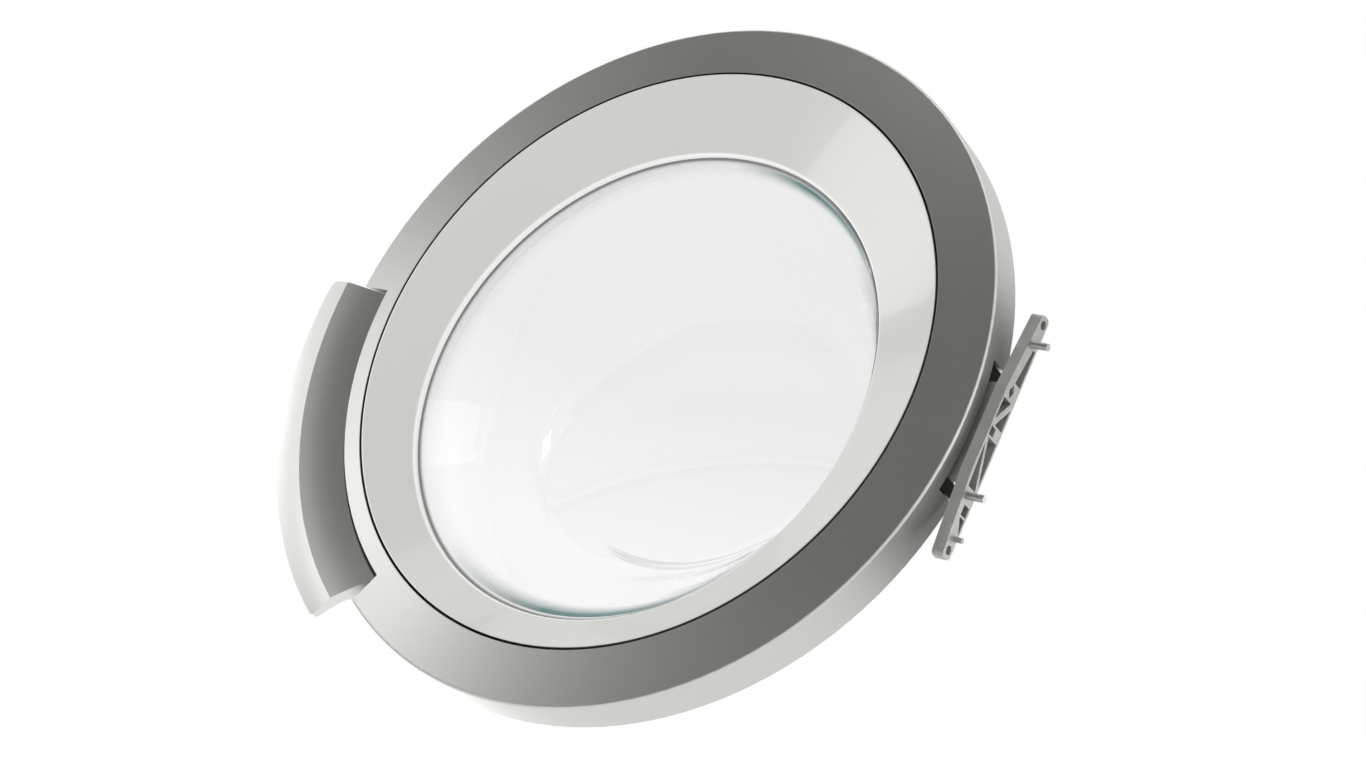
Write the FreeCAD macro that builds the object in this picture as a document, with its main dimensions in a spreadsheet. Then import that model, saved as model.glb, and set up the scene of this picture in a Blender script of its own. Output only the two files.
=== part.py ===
import FreeCAD, Part
import Sketcher
import math
import os

from FreeCAD import Placement, Rotation, Vector

# Porthole door of a front-loading washing machine, in millimetres.
# Row frame: the origin is the centre of the hinge bar's mounting face, +Z runs up along the hinge pin,
# +Y points back into the machine and the door's front faces -Y.
# Each piece of the round door is drawn in the door's own frame, with x to the right, y up and z to the
# front, and its zero on the ring's axis in the plane of the seam. A depth is measured back from there.

doc = FreeCAD.newDocument("porthole_door")
sheet = doc.addObject("Spreadsheet::Sheet", "sizes")

drivingSizes = {
    # outer ring: a shallow cone with a rounded edge and a straight side wall
    "ring_radius": 222.0,
    "band_width": 34.0,
    "seam_gap": 0.5,
    "ring_drop": 4.0,
    "ring_depth": 31.5,
    "ring_wall": 3.0,
    "front_wall": 3.2,
    "edge_round": 1.5,
    "back_round": 1.0,
    "seam_round": 0.6,
    "skirt_depth": 14.0,
    "ledge_width": 4.0,
    "ledge_thickness": 2.4,
    # inner ring: an oblique cone down to the glass, which sits higher than the ring's axis
    "trim_width": 36.0,
    "opening_rise": 12.9,
    "opening_depth": 13.4,
    "trim_wall": 3.0,
    "rim_land": 0.9,
    "lip_round": 1.8,
    "lip_height": 3.4,
    "lip_wall": 2.6,
    # glass bowl: a flange, a conical wall and a slanted back
    "flange_width": 14.0,
    "flange_thickness": 4.7,
    "flange_round": 1.5,
    "glass_thickness": 5.5,
    "mouth_wall": 2.2,
    "mouth_round": 1.6,
    "bowl_taper": 41.5,
    "bowl_shift": 2.0,
    "bowl_depth": 107.0,
    "bowl_slant": 20.0,
    "bowl_round": 30.0,
    # rear frame
    "rear_thickness": 5.0,
    "rear_clearance": 0.5,
    "collar_clearance": 3.5,
    "collar_wall": 3.0,
    "collar_round": 1.2,
    # screw posts and screws
    "post_inset": 16.0,
    "post_radius": 4.5,
    "screw_radius": 1.7,
    "screw_length": 14.0,
    "screw_clearance": 0.4,
    "screw_fit": 0.02,
    "head_radius": 3.6,
    "head_height": 2.4,
    "head_clearance": 0.4,
    "pilot_spare": 2.0,
    "socket_radius": 1.3,
    "socket_depth": 1.4,
    # handle pocket in the ring
    "handle_angle": 28.2,
    "handle_span": 60.0,
    "pocket_inset": 21.5,
    "pocket_depth": 27.5,
    "pocket_wall": 2.4,
    "pocket_end": 0.8,
    # handle
    "handle_gap": 2.8,
    "handle_end_gap": 0.55,
    "ramp_drop": 5.0,
    "ramp_curve": 160.0,
    "crest_reach": 8.5,
    "crest_height": 2.3,
    "grip_reach": 19.7,
    "grip_shift": 24.0,
    "lip_depth": 4.4,
    "lip_curve": 120.0,
    "lip_corner": 4.5,
    "grip_thickness": 3.0,
    "grip_arch": 60.0,
    "grip_root": 6.0,
    "handle_wall": 2.2,
    "handle_inset": 2.5,
    "handle_skin": 7.5,
    "handle_depth": 20.5,
    "handle_end_wall": 1.8,
    "handle_end_rake": 2.0,
    # handle axle, its lugs and ears
    "axle_inset": 13.0,
    "axle_depth": 12.0,
    "axle_radius": 2.0,
    "axle_running": 0.06,
    "lug_radius": 3.5,
    "lug_wall": 3.0,
    "ear_wall": 4.0,
    "ear_gap": 0.5,
    "ear_span": 60.0,
    # arm of the handle that pushes the hook
    "arm_length": 12.0,
    "arm_width": 10.0,
    "arm_depth": 18.5,
    "arm_thickness": 4.0,
    "arm_clearance": 2.0,
    # latch hook, its bracket and pin
    "hook_inset": 45.0,
    "hook_depth": 20.0,
    "hook_width": 8.0,
    "hook_boss": 4.0,
    "hook_stem": 7.0,
    "hook_length": 52.0,
    "nose_reach": 8.0,
    "nose_height": 9.0,
    "nose_lip": 3.0,
    "tail_reach": 13.8,
    "tail_gap": 0.4,
    "tail_thickness": 2.6,
    "pin_radius": 1.5,
    "pin_running": 0.05,
    "bracket_wall": 2.2,
    "bracket_in": 10.6,
    "bracket_out": 17.0,
    "bracket_width": 44.0,
    "cheek_gap": 16.0,
    "cheek_in": 4.2,
    "cheek_top": 14.0,
    "slot_in": 8.4,
    "slot_out": 14.0,
    "slot_spare": 2.0,
    "latch_screw_span": 32.0,
    "latch_screw_out": 4.0,
    "latch_screw_length": 6.4,
    # springs
    "handle_wire": 0.45,
    "handle_coil": 2.55,
    "handle_turns": 6.0,
    "handle_pitch": 1.6,
    "handle_spring_place": 9.0,
    "hook_wire": 0.4,
    "hook_coil": 2.3,
    "hook_turns": 2.0,
    "hook_pitch": 0.95,
    "hook_spring_gap": 0.7,
    "spring_rest": 0.2,
    # hinge bar: die-cast, bowed at the front and ribbed on its mounting face
    "bar_length": 148.0,
    "bar_width": 8.8,
    "bar_bow": 5.5,
    "bar_flat": 52.0,
    "bar_thickness": 7.0,
    "bar_clearance": 4.0,
    "bar_depth": 23.0,
    "bar_corner": 3.0,
    "bar_rim": 1.5,
    "rib_wall": 1.3,
    "rib_offset": 3.2,
    "rib_height": 4.6,
    "middle_pocket": 5.0,
    "diamond_place": -25.7,
    "diamond_offset": 3.6,
    "diamond_half_width": 2.6,
    "diamond_half_height": 4.0,
    "foot_pocket": 6.0,
    "hinge_screw_span": 138.0,
    "hinge_hole_radius": 2.6,
    "dowel_radius": 2.1,
    "dowel_length": 10.8,
    "dowel_seat": 5.0,
    "dowel_boss": 3.4,
    "dowel_fit": 0.02,
    "dowel_offset": 4.0,
    "dowel_low": -55.0,
    "dowel_high": 38.0,
    "pip_radius": 1.5,
    "pip_length": 4.5,
    "pip_offset": 2.0,
    "pip_place": 61.5,
    # hinge pin, barrel and bearing blocks
    "hinge_inset": 10.0,
    "hinge_depth": 25.0,
    "hinge_pin_radius": 3.0,
    "hinge_running": 0.05,
    "barrel_radius": 5.5,
    "barrel_length": 60.0,
    "neck_front": 8.5,
    "neck_back": 2.3,
    "neck_inset": 1.0,
    "bush_gap": 0.3,
    "bush_height": 8.0,
    "bush_out": 5.4,
    "bush_in": 12.0,
    "bush_front": 15.0,
    "bush_back": 30.0,
    "bush_screw_in": 7.4,
    "pin_end": 0.8,
    "window_spare": 1.6,
    "window_front": 14.0,
    "window_out": 1.0,
    # how far a cut runs past the surface that it opens
    "cut_over": 1.0,
}

# angles of the frame screws, clear of the handle pocket and the hinge window
postAngles = (76.0, 108.0, 140.0, 220.0, 252.0, 284.0, 316.0, 344.0)

for row, (name, number) in enumerate(drivingSizes.items(), start=1):
    sheet.set("A%d" % row, name)
    sheet.set("B%d" % row, str(number))
    sheet.setAlias("B%d" % row, name)
doc.recompute()


# A length that knows both its number and the sheet expression that gives it.
class Size:
    def __init__(self, value, text):
        self.value = value
        self.text = text

    def joined(self, other, sign, value):
        other = asSize(other)
        return Size(value(self.value, other.value), "(%s %s %s)" % (self.text, sign, other.text))

    def __add__(self, other):
        return self.joined(other, "+", lambda a, b: a + b)

    def __radd__(self, other):
        return asSize(other) + self

    def __sub__(self, other):
        return self.joined(other, "-", lambda a, b: a - b)

    def __rsub__(self, other):
        return asSize(other) - self

    def __mul__(self, other):
        return self.joined(other, "*", lambda a, b: a * b)

    def __rmul__(self, other):
        return asSize(other) * self

    def __truediv__(self, other):
        return self.joined(other, "/", lambda a, b: a / b)

    def __neg__(self):
        return Size(-self.value, "(0 - %s)" % self.text)


def asSize(number):
    return number if isinstance(number, Size) else Size(float(number), repr(float(number)))


def cosine(angle):
    angle = asSize(angle)
    return Size(math.cos(math.radians(angle.value)), "cos(%s * 1 deg)" % angle.text)


def sine(angle):
    angle = asSize(angle)
    return Size(math.sin(math.radians(angle.value)), "sin(%s * 1 deg)" % angle.text)


class Sizes:
    def __init__(self, numbers):
        for name, number in numbers.items():
            setattr(self, name, Size(number, "sizes." + name))


d = Sizes(drivingSizes)

# places that several pieces share; a reach or radius is measured from the ring's axis
seamRadius = d.ring_radius - d.band_width
openingRadius = seamRadius - d.trim_width
flangeRadius = openingRadius + d.flange_width
bowlRadius = openingRadius - d.bowl_taper
postCircle = d.ring_radius - d.post_inset
pocketRadius = d.ring_radius - d.pocket_inset
crestRadius = d.ring_radius + d.crest_reach
lipRadius = crestRadius + d.grip_reach
gripInner = crestRadius - d.grip_root
handleOuter = d.ring_radius - d.handle_inset
axleReach = d.ring_radius - d.axle_inset
armReach = pocketRadius - d.arm_length
hookPivot = d.ring_radius - d.hook_inset
bracketInner = hookPivot - d.bracket_in
bracketOuter = hookPivot + d.bracket_out
slotInner = hookPivot - d.slot_in
slotOuter = hookPivot + d.slot_out
hingeReach = d.ring_radius - d.hinge_inset
bushInner = hingeReach - d.bush_in
bushOuter = hingeReach + d.bush_out
bushScrewReach = hingeReach - d.bush_screw_in
ringAxisX = d.ring_radius + d.bar_clearance + d.bar_thickness
seamPlaneY = -d.bar_depth
outerBore = seamRadius + d.seam_gap
trimRadius = seamRadius - d.seam_gap
flangeFront = d.opening_depth + d.lip_height
flangeBack = flangeFront + d.flange_thickness
rearFront = d.ring_depth - d.rear_thickness
handleInner = pocketRadius + d.handle_gap
earOuter = d.ear_span + 2 * d.ear_wall
lugInner = earOuter + 2 * d.ear_gap
lugOuter = lugInner + 2 * d.lug_wall
slotWidth = d.hook_width + 2 * d.slot_spare
bracketFront = rearFront - d.bracket_wall
bushFoot = d.barrel_length / 2 + d.bush_gap
windowHalf = bushFoot + d.bush_height + d.window_spare
rearCutReach = bushInner - d.window_spare
pinRow = (ringAxisX - hingeReach, seamPlaneY + d.hinge_depth)

frontTurn = Rotation(Vector(1, 0, 0), 90)
# two places this near count as one
closeEnough = 0.05


def bind(item, path, size):
    item.setExpression(path, asSize(size).text)


# a door piece sits on the ring's axis, turned to the handle's angle where it belongs to it
def doorPlacement(turned):
    angle = d.handle_angle.value if turned else 0.0
    return Placement(Vector(ringAxisX.value, seamPlaneY.value, 0),
                     frontTurn.multiply(Rotation(Vector(0, 0, 1), angle)))


def placeOnDoor(item, turned=False):
    item.Placement = doorPlacement(turned)
    bind(item, "Placement.Base.x", ringAxisX)
    bind(item, "Placement.Base.y", seamPlaneY)


def newBody(label):
    body = doc.addObject("PartDesign::Body", label)
    body.Label = label
    return body


def newSketch(body, name, role, height=0.0, turn=0.0, axis=Vector(0, 1, 0)):
    sketch = body.newObject("Sketcher::SketchObject", name)
    plane = [item for item in body.Origin.OriginFeatures if item.Role == role][0]
    sketch.AttachmentSupport = [(plane, "")]
    sketch.MapMode = "FlatFace"
    height = asSize(height)
    turn = asSize(turn)
    sketch.AttachmentOffset = Placement(Vector(0, 0, height.value), Rotation(axis, turn.value))
    bind(sketch, "AttachmentOffset.Base.z", height)
    if turn.value:
        bind(sketch, "AttachmentOffset.Rotation.Angle", turn)
    return sketch


def pin(sketch, geometry, point, x, y):
    for kind, size in (("DistanceX", asSize(x)), ("DistanceY", asSize(y))):
        index = sketch.addConstraint(Sketcher.Constraint(kind, -1, 1, geometry, point, size.value))
        bind(sketch, "Constraints[%d]" % index, size)


# A closed outline through points; curves maps an edge's number to the radius and the bulge side of its arc.
def addOutline(sketch, points, curves=None):
    curves = curves or {}
    corners = [(asSize(x), asSize(y)) for x, y in points]
    first = sketch.GeometryCount
    count = len(corners)
    for number in range(count):
        start = Vector(corners[number][0].value, corners[number][1].value, 0)
        end = Vector(corners[(number + 1) % count][0].value, corners[(number + 1) % count][1].value, 0)
        if number in curves:
            radius, side = curves[number]
            chord = end.sub(start)
            across = Vector(-chord.y, chord.x, 0).normalize()
            sagitta = radius.value - math.sqrt(radius.value ** 2 - (chord.Length / 2) ** 2)
            middle = start.add(end).multiply(0.5).add(across.multiply(side * sagitta))
            arc = Part.Arc(end, middle, start) if side > 0 else Part.Arc(start, middle, end)
            sketch.addGeometry(arc, False)
        else:
            sketch.addGeometry(Part.LineSegment(start, end), False)
    ends = []
    for number in range(count):
        curve = sketch.Geometry[first + number]
        start = Vector(corners[number][0].value, corners[number][1].value, 0)
        flipped = curve.StartPoint.distanceToPoint(start) > curve.EndPoint.distanceToPoint(start)
        ends.append((2, 1) if flipped else (1, 2))
    for number in range(count):
        after = (number + 1) % count
        sketch.addConstraint(Sketcher.Constraint(
            "Coincident", first + number, ends[number][1], first + after, ends[after][0]))
    for number, (x, y) in enumerate(corners):
        pin(sketch, first + number, ends[number][0], x, y)
    for number, (radius, side) in curves.items():
        index = sketch.addConstraint(Sketcher.Constraint("Radius", first + number, radius.value))
        bind(sketch, "Constraints[%d]" % index, radius)


def addCircle(sketch, radius, x=0.0, y=0.0):
    radius = asSize(radius)
    centre = Vector(asSize(x).value, asSize(y).value, 0)
    number = sketch.addGeometry(Part.Circle(centre, Vector(0, 0, 1), radius.value), False)
    pin(sketch, number, 3, x, y)
    index = sketch.addConstraint(Sketcher.Constraint("Radius", number, radius.value))
    bind(sketch, "Constraints[%d]" % index, radius)


def boxPoints(left, low, right, high):
    return [(left, low), (right, low), (right, high), (left, high)]


def outline(body, name, role, points, curves=None, height=0.0, turn=0.0):
    sketch = newSketch(body, name, role, height, turn)
    addOutline(sketch, points, curves)
    return sketch


def circles(body, name, radius, places, height=0.0):
    sketch = newSketch(body, name, "XY_Plane", height)
    for x, y in places:
        addCircle(sketch, radius, x, y)
    return sketch


def extrude(body, kind, sketch, length, reverse=False, symmetric=False):
    feature = body.newObject("PartDesign::" + kind, sketch.Name + kind)
    feature.Profile = sketch
    feature.Refine = False
    feature.SideType = "Symmetric" if symmetric else "One side"
    feature.Reversed = reverse
    bind(feature, "Length", length)
    return feature


def turnAround(body, kind, sketch, angle):
    feature = body.newObject("PartDesign::" + kind, sketch.Name + kind)
    feature.Profile = sketch
    feature.Refine = False
    feature.ReferenceAxis = (sketch, ["V_Axis"])
    feature.Midplane = True
    bind(feature, "Angle", angle)
    return feature


def loft(body, kind, sketches):
    feature = body.newObject("PartDesign::" + kind, sketches[0].Name + kind)
    feature.Profile = sketches[0]
    feature.Sections = sketches[1:]
    feature.Ruled = True
    return feature


# Rounds the edges that a test picks out of the body's present shape.
def roundEdges(body, name, radius, picks):
    doc.recompute()
    tip = body.Tip
    names = ["Edge%d" % number for number, edge in enumerate(tip.Shape.Edges, start=1) if picks(edge)]
    feature = body.newObject("PartDesign::Fillet", name)
    feature.Base = (tip, names)
    bind(feature, "Radius", radius)
    return feature


def isCircle(edge, radius, z, tolerance=0.02):
    if not isinstance(edge.Curve, Part.Circle):
        return False
    radiusGap = abs(edge.Curve.Radius - radius.value)
    return radiusGap < tolerance and abs(edge.Curve.Center.z - z.value) < tolerance


def around(radius, angle):
    return radius * cosine(angle), radius * sine(angle)


# depth of the ring's conical front at a radius
def coneDepth(radius):
    return d.ring_drop * (radius - outerBore) / (d.ring_radius - outerBore)


postPlaces = [around(postCircle, angle) for angle in postAngles]
bushScrewPlaces = [(-bushScrewReach, side * (bushFoot + d.bush_height / 2)) for side in (1, -1)]


# Outer ring: turned shell with a seam skirt, a ledge for the inner ring, a handle pocket and a hinge window
def makeOuterRing():
    body = newBody("outer_ring")
    skirt = outerBore + d.ring_wall
    ledgeFront = d.skirt_depth - d.ledge_thickness
    section = outline(body, "ring_section", "XZ_Plane", [
        (outerBore, 0), (d.ring_radius, -d.ring_drop), (d.ring_radius, -d.ring_depth),
        (d.ring_radius - d.ring_wall, -d.ring_depth),
        (d.ring_radius - d.ring_wall, -(d.ring_drop + d.front_wall)),
        (skirt, -d.front_wall), (skirt, -d.skirt_depth),
        (outerBore - d.ledge_width, -d.skirt_depth), (outerBore - d.ledge_width, -ledgeFront),
        (outerBore, -ledgeFront)])
    turnAround(body, "Revolution", section, 360)
    roundEdges(body, "edge_rounding", d.edge_round, lambda e: isCircle(e, d.ring_radius, -d.ring_drop))
    roundEdges(body, "back_rounding", d.back_round, lambda e: isCircle(e, d.ring_radius, -d.ring_depth))
    roundEdges(body, "seam_rounding", d.seam_round, lambda e: isCircle(e, outerBore, asSize(0)))
    # handle pocket: a block behind the front, hollowed out from the front and the side
    inner = pocketRadius - d.pocket_wall
    outer = d.ring_radius - d.ring_wall / 2
    floor = d.pocket_depth + d.pocket_wall
    block = outline(body, "pocket_block", "XZ_Plane", [
        (inner, -(coneDepth(inner) + d.front_wall / 2)), (outer, -(d.ring_drop + d.front_wall / 2)),
        (outer, -floor), (inner, -floor)], turn=d.handle_angle)
    turnAround(body, "Revolution", block, d.handle_span + 2 * d.pocket_end)
    cut = outline(body, "pocket_cut", "XZ_Plane", boxPoints(
        pocketRadius, -d.pocket_depth, d.ring_radius + d.ring_wall, d.front_wall), turn=d.handle_angle)
    turnAround(body, "Groove", cut, d.handle_span)
    # lugs for the handle's axle stand on the pocket's floor
    lug = boxPoints(axleReach - d.lug_radius, -(d.pocket_depth + d.pocket_wall / 2),
                    axleReach + d.lug_radius, -(d.axle_depth - d.lug_radius))
    extrude(body, "Pad", outline(body, "lug", "XZ_Plane", lug, turn=d.handle_angle), lugOuter, symmetric=True)
    between = boxPoints(axleReach - d.lug_radius - d.cut_over, -d.pocket_depth,
                        axleReach + d.lug_radius + d.cut_over, -(d.axle_depth - d.lug_radius - d.cut_over))
    extrude(body, "Pocket", outline(body, "lug_space", "XZ_Plane", between, turn=d.handle_angle), lugInner,
            symmetric=True)
    bore = newSketch(body, "axle_bore", "XZ_Plane", turn=d.handle_angle)
    addCircle(bore, d.axle_radius + d.screw_fit, axleReach, -d.axle_depth)
    extrude(body, "Pocket", bore, lugOuter + 2 * d.cut_over, symmetric=True)
    # slot in the pocket's inner wall for the handle's arm
    armSlot = boxPoints(inner - d.pocket_wall, -(d.pocket_depth - d.arm_clearance),
                        pocketRadius + d.cut_over, -(d.axle_depth - d.arm_clearance))
    extrude(body, "Pocket", outline(body, "arm_slot", "XZ_Plane", armSlot, turn=d.handle_angle),
            d.arm_width + 2 * d.arm_clearance, symmetric=True)
    # hinge window, open to the back
    window = outline(body, "window", "XY_Plane", boxPoints(
        -(d.ring_radius + d.ring_wall), -windowHalf, -(hingeReach + d.window_out), windowHalf),
        height=-d.window_front)
    extrude(body, "Pocket", window, d.ring_depth)
    # posts for the frame screws and the bearing blocks, with pilot holes
    postTop = coneDepth(postCircle) + d.front_wall / 2
    rise = rearFront - postTop
    extrude(body, "Pad", circles(body, "posts", d.post_radius, postPlaces, height=-rearFront), rise)
    rise = d.bush_front - postTop
    bushPosts = circles(body, "bush_posts", d.post_radius, bushScrewPlaces, height=-d.bush_front)
    extrude(body, "Pad", bushPosts, rise)
    pilot = d.screw_radius + d.screw_fit
    depth = d.screw_length + d.pilot_spare + d.head_height + d.head_clearance - d.rear_thickness
    pilots = circles(body, "pilots", pilot, postPlaces, height=-rearFront)
    extrude(body, "Pocket", pilots, depth, reverse=True)
    depth = bushScrewLength() - (d.bush_back - d.head_height - d.bush_front) + d.screw_fit
    bushPilots = circles(body, "bush_pilots", pilot, bushScrewPlaces, height=-d.bush_front)
    extrude(body, "Pocket", bushPilots, depth, reverse=True)
    placeOnDoor(body)
    return body


def bushScrewLength():
    return d.bush_back - d.head_height - d.bush_front + d.bush_height


# Inner ring: oblique conical skin with an outer rim and a rounded lip round the glass
def makeInnerRing():
    body = newBody("inner_ring")
    lipOuter = openingRadius + d.lip_wall
    centre = [(0, d.opening_rise)]
    rimFoot = d.skirt_depth - d.ledge_thickness
    extrude(body, "Pad", circles(body, "rim_land", trimRadius, [(0, 0)]), d.trim_wall, reverse=True)
    skinTop = circles(body, "skin_top", trimRadius, [(0, 0)], height=-d.trim_wall)
    skinFoot = circles(body, "skin_foot", lipOuter, centre, height=-(d.opening_depth + d.trim_wall))
    loft(body, "AdditiveLoft", [skinTop, skinFoot])
    frontTop = circles(body, "front_top", trimRadius - d.rim_land, [(0, 0)])
    frontFoot = circles(body, "front_foot", openingRadius, centre, height=-d.opening_depth)
    loft(body, "SubtractiveLoft", [frontTop, frontFoot])
    opening = circles(body, "opening", openingRadius, centre, height=-d.opening_depth)
    extrude(body, "Pocket", opening, d.ring_depth)
    lip = circles(body, "lip", lipOuter, centre, height=-flangeFront)
    addCircle(lip, openingRadius, 0, d.opening_rise)
    extrude(body, "Pad", lip, d.lip_height)
    rim = circles(body, "rim", trimRadius, [(0, 0)], height=-rimFoot)
    addCircle(rim, trimRadius - d.trim_wall)
    extrude(body, "Pad", rim, rimFoot - d.trim_wall / 2)
    roundEdges(body, "lip_rounding", d.lip_round, lambda e: liesFlat(e, d.opening_depth))
    placeOnDoor(body)
    return body


# An edge that lies at one depth all the way along
def liesFlat(edge, depth, tolerance=0.02):
    points = edge.discretize(9)
    return all(abs(point.z + depth.value) < tolerance for point in points)


# Glass bowl: pressed in one piece, with a conical wall and a back that slants
def makeGlassBowl():
    centre = [(0, d.opening_rise)]
    slant = math.radians(d.bowl_slant.value)

    # a tapered plug with a slanted, rounded end
    def plug(body, name, mouthRadius, mouthDepth, backRadius, backDepth, rounding):
        mouth = circles(body, name + "_mouth", mouthRadius, centre, height=-mouthDepth)
        back = newSketch(body, name + "_back", "XY_Plane", -backDepth, d.bowl_slant, Vector(1, 0, 0))
        addCircle(back, backRadius, 0, d.opening_rise - d.bowl_shift)
        loft(body, "AdditiveLoft", [mouth, back])

        def onBack(edge):
            gaps = [(p.z + backDepth.value) * math.cos(slant) - p.y * math.sin(slant)
                    for p in edge.discretize(9)]
            return max(abs(gap) for gap in gaps) < closeEnough

        roundEdges(body, name + "_rounding", rounding, onBack)

    shell = newBody("glass_shell")
    plug(shell, "wall", openingRadius, flangeBack - d.flange_round, bowlRadius, d.bowl_depth,
         d.bowl_round)
    extrude(shell, "Pad", circles(shell, "flange", flangeRadius, centre, height=-flangeFront),
            d.flange_thickness, reverse=True)
    for name, depth in (("flange_front_rounding", flangeFront), ("flange_back_rounding", flangeBack)):
        roundEdges(shell, name, d.flange_round, lambda e: isCircle(e, flangeRadius, -depth))
    hollow = newBody("glass_hollow")
    wall = d.glass_thickness
    mouthRadius = openingRadius - d.mouth_wall
    plug(hollow, "hollow", mouthRadius, flangeFront, bowlRadius - wall, d.bowl_depth - wall,
         d.bowl_round - wall)
    flare = circles(hollow, "flare", mouthRadius + d.mouth_round, centre, height=-flangeFront)
    flareFoot = circles(hollow, "flare_foot", mouthRadius - 2 * d.mouth_round, centre,
                        height=-(flangeFront + d.mouth_round))
    loft(hollow, "AdditiveLoft", [flare, flareFoot])
    bowl = doc.addObject("Part::Cut", "glass_bowl")
    bowl.Label = "glass_bowl"
    bowl.Base = shell
    bowl.Tool = hollow
    placeOnDoor(bowl)
    return bowl


# Rear frame: flat back ring with a collar that clamps the glass flange
def makeRearFrame():
    body = newBody("rear_frame")
    collarBore = openingRadius + d.collar_clearance
    centre = [(0, d.opening_rise)]
    rearRadius = d.ring_radius - d.ring_wall - d.rear_clearance
    extrude(body, "Pad", circles(body, "plate", rearRadius, [(0, 0)], height=-d.ring_depth), d.rear_thickness)
    collar = circles(body, "collar", collarBore + d.collar_wall, centre, height=-d.ring_depth)
    extrude(body, "Pad", collar, d.ring_depth - flangeBack)
    extrude(body, "Pocket", circles(body, "bore", collarBore, centre, height=-flangeBack), d.ring_depth)
    roundEdges(body, "collar_rounding", d.collar_round, lambda e: isCircle(e, collarBore, -d.ring_depth))
    # clear of the handle pocket and of the hinge
    pocketBack = pocketRadius - d.pocket_wall - d.rear_clearance
    sector = outline(body, "sector", "XZ_Plane", boxPoints(
        pocketBack, -(d.ring_depth + d.rear_thickness), d.ring_radius, -flangeFront), turn=d.handle_angle)
    turnAround(body, "Groove", sector, d.handle_span + 2 * (d.pocket_end + d.handle_end_gap))
    hinge = outline(body, "hinge_cut", "XY_Plane", boxPoints(
        -d.ring_radius, -windowHalf, -rearCutReach, windowHalf), height=-flangeFront)
    extrude(body, "Pocket", hinge, d.ring_depth)
    # slot for the hook, screw holes with sunk seats, and pilots for the latch screws
    slot = outline(body, "hook_slot", "XZ_Plane", boxPoints(
        slotInner, -(d.ring_depth + d.rear_thickness), slotOuter, -rearFront + d.rear_clearance),
        turn=d.handle_angle)
    extrude(body, "Pocket", slot, slotWidth, symmetric=True)
    holes = circles(body, "screw_holes", d.screw_radius + d.screw_clearance, postPlaces, height=-rearFront)
    extrude(body, "Pocket", holes, d.ring_depth)
    seatDepth = d.head_height + d.head_clearance
    seats = circles(body, "screw_seats", d.head_radius + d.head_clearance, postPlaces,
                    height=-(d.ring_depth - seatDepth))
    extrude(body, "Pocket", seats, d.ring_depth)
    pilots = circles(body, "latch_pilots", d.screw_radius + d.screw_fit, latchScrewPlaces(True),
                     height=-rearFront)
    extrude(body, "Pocket", pilots, d.latch_screw_length - d.bracket_wall + d.screw_fit)
    placeOnDoor(body)
    return body


# places of the latch screws, in the door's frame or in the handle's
def latchScrewPlaces(inDoor):
    places = []
    for side in (1, -1):
        x = hookPivot + d.latch_screw_out
        y = side * d.latch_screw_span / 2
        if inDoor:
            c = cosine(d.handle_angle)
            s = sine(d.handle_angle)
            places.append((x * c - y * s, x * s + y * c))
        else:
            places.append((x, y))
    return places


# Screws: a round head with a drive socket and a plain shank, all of one kind in one group
def makeScrews(label, places, seatDepth, length, toFront, turned=False):
    body = newBody(label)
    body.AllowCompound = True
    extrude(body, "Pad", circles(body, label + "_heads", d.head_radius, places, height=-seatDepth),
            d.head_height, reverse=toFront)
    extrude(body, "Pad", circles(body, label + "_shanks", d.screw_radius, places, height=-seatDepth),
            length, reverse=not toFront)
    top = seatDepth + d.head_height if toFront else seatDepth - d.head_height
    extrude(body, "Pocket", circles(body, label + "_sockets", d.socket_radius, places, height=-top),
            d.socket_depth, reverse=toFront)
    placeOnDoor(body, turned)
    return body


# An upright edge of the handle out at the lip
def isLipCorner(edge):
    first, last = edge.firstVertex().Point, edge.lastVertex().Point
    upright = math.hypot(first.x - last.x, first.y - last.y) < closeEnough
    return upright and math.hypot(first.x, first.y) > crestRadius.value


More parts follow.
